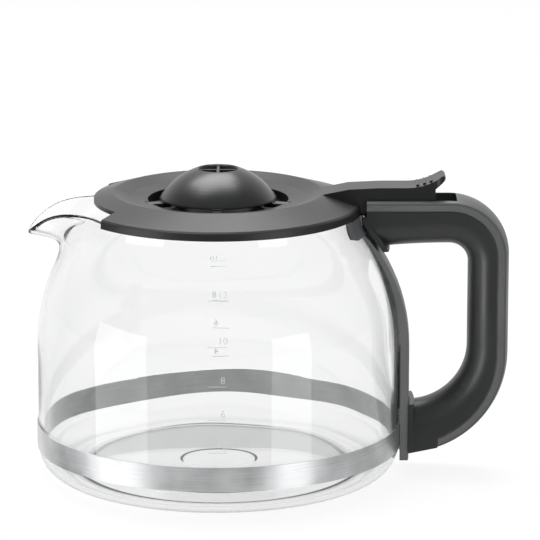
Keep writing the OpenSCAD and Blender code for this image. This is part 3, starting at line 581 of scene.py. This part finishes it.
@dataclass
class GlassJug:
    """The blown jug, as one closed surface of columns about the axis.

    Each wave of the wall's unevenness holds its number round the jug, its rise in millimetres for
    each radian, its start in radians, and its share.
    """

    form: JugForm
    columns: int = 300
    bend_steps: int = 18
    wall_points: int = 9
    rim_steps: int = 10
    middle_points: int = 6
    mark_points: int = 9
    level_points: int = 12
    slope_points: int = 14
    gutter_points: int = 18
    inner_points: int = 14
    middle_r: float = 2.0
    mark_gap: float = 0.4
    ripple: float = 0.07
    ripple_fade: float = 20.0
    waves: tuple[tuple[float, ...], ...] = ((3, 14.0, 0.0, 0.6), (7, -9.0, 1.3, 0.4))
    finish: ClearGlass = field(default_factory=ClearGlass)

    def outside(self, angle: np.ndarray) -> np.ndarray:
        """The outer side from the spout's root to the rim.

        Each point goes from the round neck's outline to the spout's line by the beak's share. Its
        height goes by a higher power of that share, which keeps the spout's sides high.

        Args:
            angle: Angles from the spout's middle, in degrees.

        Returns:
            Radius and height, for each angle and each point of the outline.
        """
        neck, share = self.form.neck_line(self.bend_steps)
        spout = self.form.spout_line(share)
        pull = self.form.beak(angle)[:, None]
        r = neck[:, 0] + (spout[:, 0] - neck[:, 0]) * pull
        z = neck[:, 1] + (spout[:, 1] - neck[:, 1]) * pull ** self.form.side_lift
        return np.stack([r, z], -1)

    def underside(self) -> np.ndarray:
        """Place the underside's points, closest where its slope changes.

        Returns:
            Radius and height of each point.
        """
        form = self.form
        slope_r, mark_in = form.ring_r - form.slope_w, form.mark_r - form.mark_slope
        r = np.concatenate([np.linspace(self.middle_r, mark_in - self.mark_gap, self.middle_points),
                            np.linspace(mark_in, form.mark_r, self.mark_points),
                            np.linspace(form.mark_r + self.mark_gap, slope_r, self.level_points),
                            np.linspace(slope_r, form.ring_r, self.slope_points)[1:],
                            [form.ring_r + form.foot_ring / 2]])
        return np.stack([r, form.underside(r)], -1)

    def inside_floor(self) -> np.ndarray:
        """Place the inner floor's points, from the wall's corner inwards.

        Returns:
            Radius and height of each point.
        """
        form = self.form
        slope_r = form.ring_r - form.slope_w
        r = np.concatenate([np.linspace(form.corner_c[0], slope_r, self.gutter_points)[1:],
                            np.linspace(slope_r, self.middle_r, self.inner_points)[1:]])
        return np.stack([r, form.inside_floor(r)], -1)

    def thickness(self, height: np.ndarray, angle: np.ndarray) -> np.ndarray:
        """The blown wall's thickness: a little uneven between the corner and the rim.

        It is the wall times one plus the ripple times the sum of the waves. A wave is a sine of
        its number times the angle, plus the height over its rise, plus its start.

        Args:
            height: Height of each point of each column.
            angle: Angles from the spout's middle, in degrees.

        Returns:
            The thickness at each point.
        """
        form = self.form
        fade = (smooth_step((height - form.corner) / self.ripple_fade)
                * smooth_step((form.height - height) / self.ripple_fade))
        turn = np.radians(angle)[:, None, None]
        wave = sum(np.sin(number * turn + height / rise + start) * share
                   for number, rise, start, share in self.waves)
        return form.wall * (1 + self.ripple * fade * wave)

    def rows(self, angle: np.ndarray) -> np.ndarray:
        """Every column of the surface, from the middle of the underside to the middle inside.

        The inner side lies one wall inward of the outer side, square to it. The rim is half a
        circle about the middle of the wall's end.

        Args:
            angle: Angles from the spout's middle, in degrees.

        Returns:
            Radius and height, for each angle and each point, without the two end points.
        """
        form = self.form
        bottom = self.underside()
        corner = arc(form.corner_c, form.corner, -90, 0, self.bend_steps)
        wall = np.linspace([form.radius, form.corner], [form.radius, form.shoulder_z],
                           self.wall_points)[1:-1]
        shoulder = arc(form.shoulder_c, form.shoulder_bend, 0, form.root, self.bend_steps)[:-1]
        low = np.concatenate([bottom, corner, wall, shoulder])
        low = np.broadcast_to(low, (len(angle), *low.shape))
        outer = np.concatenate([low, self.outside(angle)], 1)

        line = outer[:, len(bottom):]
        along = np.gradient(line, axis=1)
        along /= np.linalg.norm(along, axis=-1, keepdims=True)
        inward = np.stack([-along[..., 1], along[..., 0]], -1)
        inner = (line + inward * self.thickness(line[..., 1:2], angle))[:, ::-1]

        turn = np.radians(np.linspace(0, 180, self.rim_steps + 1)[1:-1])[None, :, None]
        along, inward = along[:, -1:], inward[:, -1:]
        middle = line[:, -1:] + inward * form.wall / 2
        rim = middle + form.wall / 2 * (along * np.sin(turn) - inward * np.cos(turn))

        floor = self.inside_floor()
        floor = np.broadcast_to(floor, (len(angle), *floor.shape))
        return np.concatenate([outer, rim, inner, floor], 1)

    def build(self) -> bpy.types.Object:
        """Make the glass and let it stand for the solid jug.

        Each column's points are turned about the axis by its angle from the spout, which is on -X.

        Returns:
            The glass.
        """
        form = self.form
        angle = np.arange(self.columns) * 360 / self.columns
        angle = np.where(angle > 180, angle - 360, angle)
        rows = self.rows(angle)
        turn = np.radians(angle)[:, None]
        rings = np.stack([-rows[..., 0] * np.cos(turn), -rows[..., 0] * np.sin(turn),
                          rows[..., 1]], -1).transpose(1, 0, 2)
        ends = [[0, 0, form.push + form.mark_depth], [0, 0, form.push + form.floor]]
        quads, tips = ring_faces(*rings.shape[:2])
        points = np.concatenate([rings.reshape(-1, 3), ends])
        piece = new_piece("blown_glass", points, quads.tolist() + tips.tolist(), "jug",
                          self.finish.material())
        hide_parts("glass_jug")
        return piece


@dataclass
class CupScale:
    """Cup marks printed on the glass: a line for each mark, with its plain number just above.

    The marks are numbers of cups with the heights of their lines. Sizes are in millimetres, and
    em_share is the height of a figure as a share of the font's size.
    """

    form: JugForm
    marks: dict[Side, dict[str, float]] = field(default_factory=lambda: {
        Side.NEAR: {"4": 30.2, "6": 44.9, "8": 59.7, "10": 76.7, "12": 95.4},
        Side.FAR: {"4": 30.6, "6": 45.3, "8": 58.7, "10": 74.8, "12": 95.4}})
    line_left: float = -3.6
    line_right: float = 4.6
    line_w: float = 0.27
    line_points: int = 13
    number_in: float = 1.7
    number_gap: float = 1.0
    number_steps: int = 3
    cap_height: float = 2.75
    em_share: float = 0.62
    thinner: float = -0.006
    film: float = 0.05
    lift: float = 0.03
    finish: FiredEnamel = field(default_factory=FiredEnamel)

    def wrapped(self, flat: np.ndarray, side: Side) -> np.ndarray:
        """Lay flat points on the outer wall.

        A flat point is (across, up, out). Across becomes an arc about the axis, up becomes the
        height, and out is added to the wall's radius at that height.

        Args:
            flat: Points on the flat drawing, in millimetres.
            side: The side of the jug.

        Returns:
            The points on the jug.
        """
        r = self.form.wall_radius(flat[:, 1])
        turn = math.radians(side.value) + flat[:, 0] / r
        r = r + self.lift + flat[:, 2]
        return np.stack([r * np.cos(turn), r * np.sin(turn), flat[:, 1]], -1)

    def line(self, z: float) -> tuple[np.ndarray, np.ndarray]:
        """One mark's line: a thin bar along the wall, drawn as rings of four corners.

        Args:
            z: Height of the line's middle.

        Returns:
            The bar's flat points and its three-sided faces.
        """
        across = np.linspace(self.line_left, self.line_right, self.line_points)
        low, high = z - self.line_w / 2, z + self.line_w / 2
        corners = np.array([[low, 0], [high, 0], [high, self.film], [low, self.film]])
        rings = np.concatenate([np.repeat(across[:, None, None], 4, 1),
                                np.broadcast_to(corners, (len(across), 4, 2))], -1)
        ends = [[self.line_left, z, self.film / 2], [self.line_right, z, self.film / 2]]
        quads, tips = ring_faces(len(across), 4)
        faces = np.concatenate([quads[:, [0, 1, 2]], quads[:, [0, 2, 3]], tips])
        return np.concatenate([rings.reshape(-1, 3), ends]), faces

    def number(self, text: str, z: float) -> tuple[np.ndarray, np.ndarray]:
        """One plain number, standing above its line near the line's right end.

        Args:
            text: The number.
            z: Height of its line.

        Returns:
            The number's flat points and its three-sided faces.
        """
        curve = bpy.data.curves.new("number", "FONT")
        curve.body, curve.align_x = text, "CENTER"
        curve.size = self.cap_height / self.em_share
        curve.offset = self.thinner * curve.size
        curve.extrude = self.film / 2
        curve.resolution_u = self.number_steps
        holder = bpy.data.objects.new("number", curve)
        bpy.context.scene.collection.objects.link(holder)
        bpy.context.view_layer.update()
        drawn = holder.evaluated_get(bpy.context.evaluated_depsgraph_get())
        mesh = bpy.data.meshes.new_from_object(drawn)
        mesh.calc_loop_triangles()
        points = np.zeros(len(mesh.vertices) * 3)
        faces = np.zeros(len(mesh.loop_triangles) * 3, int)
        mesh.vertices.foreach_get("co", points)
        mesh.loop_triangles.foreach_get("vertices", faces)
        bpy.data.objects.remove(holder)
        bpy.data.curves.remove(curve)
        bpy.data.meshes.remove(mesh)
        points = points.reshape(-1, 3) + [self.line_right - self.number_in,
                                          self.line_w + self.number_gap, self.film / 2]
        points[:, 1] = z + points[:, 1] * self.form.steepness(z)
        return points, faces.reshape(-1, 3)

    def build(self, side: Side, finish: bpy.types.Material) -> bpy.types.Object:
        """Print the whole scale on one side.

        Args:
            side: The side of the jug.
            finish: The ink.

        Returns:
            The print.
        """
        parts = [part for text, z in self.marks[side].items()
                 for part in (self.line(z), self.number(text, z))]
        starts = np.cumsum([0] + [len(points) for points, _ in parts[:-1]])
        points = self.wrapped(np.concatenate([points for points, _ in parts]), side)
        faces = np.concatenate([faces + start for (_, faces), start in zip(parts, starts)])
        return new_piece(f"cup_scale_{side.name.lower()}", points, faces.tolist(), "jug",
                         finish, smooth=False)


@dataclass
class Dresser:
    """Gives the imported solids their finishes."""

    nodes: dict[str, bpy.types.Object]

    def dress(self, finish: bpy.types.Material, *names: str) -> None:
        """Put a finish on some nodes.

        Args:
            finish: The material.
            *names: The nodes' names.
        """
        for name in names:
            for slot in self.nodes[name].material_slots:
                slot.material = finish
            LOG.info("%s: %s", name, finish.name)


@dataclass
class Clamp:
    """The steel band with its plate and screw."""

    band: BrushedSteel = field(default_factory=BrushedSteel)
    fittings: ZincSteel = field(default_factory=ZincSteel)

    def build(self, dresser: Dresser) -> None:
        """Dress the band, and the plated pieces that fasten it, the handle and the lid.

        Args:
            dresser: What puts the finishes on.
        """
        dresser.dress(self.band.material(), "clamp_band")
        dresser.dress(self.fittings.material(), "clamp_plate", "clamp_screw", "top_screw",
                      "hinge_pin")


@dataclass
class Handle:
    """The spine, its pads, the grip and its cover."""

    grip: MouldedPlastic = MouldedPlastic("black_handle_plastic", "#222324", roughness=0.36)
    cover: MouldedPlastic = MouldedPlastic("grey_cover_plastic", "#48494a", roughness=0.44)
    spine: MouldedPlastic = MouldedPlastic("grey_spine_plastic", "#4e4f50", roughness=0.44)
    pads: SiliconeRubber = field(default_factory=SiliconeRubber)

    def build(self, dresser: Dresser) -> None:
        """Dress the handle's pieces.

        Args:
            dresser: What puts the finishes on.
        """
        dresser.dress(self.grip.material(), "handle_grip")
        dresser.dress(self.cover.material(), "handle_cover")
        dresser.dress(self.spine.material(), "handle_spine")
        dresser.dress(self.pads.material(), "neck_pad", "spine_pad")


@dataclass
class Lid:
    """The lid's shell and the dome on it, with the funnel under the dome, in millimetres."""

    shell: MouldedPlastic = MouldedPlastic("dark_lid_plastic", "#0d0e0f", roughness=0.4)
    dome: MouldedPlastic = MouldedPlastic("black_dome_plastic", "#101112", roughness=0.3, edge=1.3)
    flange_r: float = 25.5
    flange_t: float = 1.2
    funnel_r: float = 21.4
    funnel_top: float = 118.47
    hole_r: float = 6.0
    hole_z: float = 115.4
    wall: float = 1.5
    around: int = 96

    def funnel(self, finish: bpy.types.Material) -> bpy.types.Object:
        """Make the lower part of the drip floor: a flange under its ring and a cone to the hole.

        The surface turns a closed outline about the axis: each point's radius times the cosine and
        sine of the angle, at the point's height.

        Args:
            finish: The lid's plastic.

        Returns:
            The funnel.
        """
        line = np.array([[self.hole_r, self.hole_z], [self.hole_r, self.hole_z - self.wall],
                         [self.funnel_r, self.funnel_top - self.wall - self.flange_t / 2],
                         [self.flange_r, self.funnel_top - self.flange_t],
                         [self.flange_r, self.funnel_top], [self.funnel_r, self.funnel_top]])
        turn = np.arange(self.around) * 2 * np.pi / self.around
        rings = np.stack([line[:, :1] * np.cos(turn), line[:, :1] * np.sin(turn),
                          np.repeat(line[:, 1:], self.around, 1)], -1)
        i, j = np.arange(len(line))[:, None], np.arange(self.around)[None, :]
        here, up = i * self.around, (i + 1) % len(line) * self.around
        after = (j + 1) % self.around
        quads = np.stack([here + j, here + after, up + after, up + j], -1).reshape(-1, 4)
        return new_piece("drip_funnel", rings.reshape(-1, 3), quads.tolist(), "lid",
                         finish, smooth=False)

    def build(self, dresser: Dresser) -> None:
        """Dress the lid's two pieces and add the funnel.

        Args:
            dresser: What puts the finishes on.
        """
        finish = self.shell.material()
        dresser.dress(finish, "lid_shell")
        dresser.dress(self.dome.material(), "drip_dome")
        self.funnel(finish)


@dataclass(frozen=True)
class Softbox:
    """One soft area lamp, aimed at the object's middle. Sizes and places are in metres.

    A lamp with a list of nodes is screened off from everything else, as a small lamp with flags is.
    """

    name: str
    place: tuple[float, float, float]
    size: tuple[float, float]
    radiance: float
    only: tuple[str, ...] = ()

    def build(self, target: tuple[float, float, float], nodes: dict[str, bpy.types.Object]) -> None:
        """Set the lamp up.

        A flat lamp's power is its radiance times its area times pi.

        Args:
            target: The point that the lamp faces.
            nodes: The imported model's objects by node name.
        """
        lamp = bpy.data.lights.new(self.name, "AREA")
        lamp.shape = "RECTANGLE"
        lamp.size, lamp.size_y = self.size
        lamp.energy = self.radiance * self.size[0] * self.size[1] * math.pi
        holder = bpy.data.objects.new(self.name, lamp)
        holder.location = self.place
        away = Vector(self.place) - Vector(target)
        holder.rotation_euler = away.to_track_quat("Z", "Y").to_euler()
        holder.visible_camera = holder.visible_transmission = False
        bpy.context.scene.collection.objects.link(holder)
        if self.only:
            lit = bpy.data.collections.new(self.name)
            for name in self.only:
                lit.objects.link(nodes[name])
            holder.light_linking.receiver_collection = lit


@dataclass
class Studio:
    """Pale floor, even world light, soft lamps and the camera, in metres and degrees.

    The levels are strengths of the world's light. The spans are heights of a direction, or how
    near it is to the backdrop, between which one level goes over into the next.
    """

    camera_place: tuple[float, float, float] = (0.0231, -1.6, 0.4702)
    camera_pitch: float = 13.3
    lens: float = 244.67
    floor_half: float = 5.0
    floor_z: float = -0.0003
    floor_colour: str = "#fafafa"
    floor_bounce: str = "#969696"
    floor_own_light: float = 0.88
    world_level: float = 0.6
    room_level: float = 0.5
    table_level: float = 0.3
    shade_level: float = 0.85
    shade_span: tuple[float, float] = (-0.5, -0.28)
    horizon_span: tuple[float, float] = (-0.12, 0.1)
    backdrop: tuple[float, float, float] = (0.0, 0.97, 0.24)
    backdrop_span: tuple[float, float] = (0.3, 0.8)
    target: tuple[float, float, float] = (0.0, 0.0, 0.07)
    lamps: tuple[Softbox, ...] = (
        Softbox("top_lamp", (-0.1, 0.35, 1.25), (1.0, 0.8), 8.0),
        Softbox("left_lamp", (-1.06, -0.56, -0.05), (0.8, 0.75), 2.2),
        Softbox("handle_strip", (-0.64, -0.93, -0.12), (0.2, 0.7), 9.0, ("handle_grip",)),
        Softbox("side_panel", (0.06, -1.45, -0.3), (1.0, 0.8), 2.9,
                ("handle_cover", "handle_spine")),
        Softbox("right_lamp", (0.86, -0.83, -0.05), (0.55, 0.75), 2.2),
    )

    def set_camera(self) -> None:
        """Put the camera where the photograph was taken from."""
        data = bpy.data.cameras.new("camera")
        data.lens = self.lens
        camera = bpy.data.objects.new("camera", data)
        camera.location = self.camera_place
        camera.rotation_euler = (math.radians(90 - self.camera_pitch), 0, 0)
        bpy.context.scene.collection.objects.link(camera)
        bpy.context.scene.camera = camera

    def set_world(self) -> None:
        """White where it is seen, and at the plain level where it lights.

        A gloss and a clear wall see the pale backdrop behind the object. Elsewhere they see the
        dimmer room above the horizon, the darker far table just below it, and the pale near table
        further down. How near a direction is to the backdrop is the dot product of the two.
        """
        world = bpy.data.worlds.new("studio")
        world.use_nodes = True
        tree = world.node_tree
        tree.nodes.clear()
        path = add(tree, "LightPath").outputs
        mirrored = add(tree, "Math", {0: path["Is Glossy Ray"], 1: path["Is Transmission Ray"]},
                       operation="MAXIMUM")
        way = add(tree, "TexCoord").outputs["Generated"]
        up = add(tree, "SeparateXYZ", {0: way}).outputs["Z"]
        near = add(tree, "VectorMath", {0: way, 1: self.backdrop},
                   operation="DOT_PRODUCT").outputs["Value"]
        table, above, behind = (
            add(tree, "MapRange", {"Value": value, "From Min": low, "From Max": high,
                                   "To Min": before, "To Max": after},
                interpolation_type="SMOOTHSTEP")
            for value, (low, high), before, after in (
                (up, self.shade_span, self.shade_level, self.table_level),
                (up, self.horizon_span, 0.0, 1.0),
                (near, self.backdrop_span, 0.0, 1.0)))
        room = add(tree, "Mix", {SHARE: above, LOW: table, HIGH: self.room_level})
        gloss = add(tree, "Mix", {SHARE: behind, LOW: room, HIGH: 1.0})
        plain = add(tree, "Mix", {SHARE: mirrored, LOW: self.world_level, HIGH: gloss})
        level = add(tree, "Mix", {SHARE: path["Is Camera Ray"], LOW: plain, HIGH: 1.0})
        light = add(tree, "Background", {"Color": WHITE, "Strength": level})
        add(tree, "OutputWorld", {"Surface": light})
        bpy.context.scene.world = world

    def set_floor(self) -> None:
        """A pale floor that keeps the shadow and lights little.

        Where it is seen, by the camera or through the glass, most of its light is its own.
        """
        made, tree = empty_material("pale_floor")
        path = add(tree, "LightPath").outputs
        seen = add(tree, "Math", {0: path["Is Camera Ray"], 1: path["Is Transmission Ray"]},
                   operation="MAXIMUM")
        share = add(tree, "Math", {0: seen, 1: self.floor_own_light}, operation="MULTIPLY")
        colour = add(tree, "Mix", {SHARE: seen, LOW_COLOUR: linear(self.floor_bounce),
                                   HIGH_COLOUR: linear(self.floor_colour)},
                     data_type="RGBA").outputs[MIXED_COLOUR]
        lit = add(tree, "BsdfDiffuse", {"Color": colour})
        own = add(tree, "Emission", {"Color": WHITE, "Strength": 1.0})
        both = add(tree, "MixShader", {0: share, 1: lit, 2: own})
        add(tree, "OutputMaterial", {"Surface": both})
        h, z = self.floor_half, self.floor_z
        mesh = bpy.data.meshes.new("floor")
        mesh.from_pydata([(-h, -h, z), (h, -h, z), (h, h, z), (-h, h, z)], [], [(0, 1, 2, 3)])
        mesh.materials.append(made)
        floor = bpy.data.objects.new("floor", mesh)
        floor.visible_glossy = floor.visible_shadow = False
        bpy.context.scene.collection.objects.link(floor)

    def build(self, nodes: dict[str, bpy.types.Object]) -> None:
        """Set up the whole studio.

        Args:
            nodes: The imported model's objects by node name.
        """
        self.set_camera()
        self.set_world()
        self.set_floor()
        for lamp in self.lamps:
            lamp.build(self.target, nodes)
        bpy.context.scene.view_settings.view_transform = "Standard"


def main() -> None:
    """Build the studio, the glass with its scale, and the finishes of all other pieces."""
    logging.basicConfig(level=logging.INFO, format="%(name)s: %(message)s")
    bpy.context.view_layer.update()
    Studio().build(frame["nodes"])
    form = JugForm()
    GlassJug(form).build()
    scale = CupScale(form)
    ink = scale.finish.material()
    for side in Side:
        scale.build(side, ink)
    dresser = Dresser(frame["nodes"])
    Clamp().build(dresser)
    Handle().build(dresser)
    Lid().build(dresser)


if __name__ == "__main__":
    main()
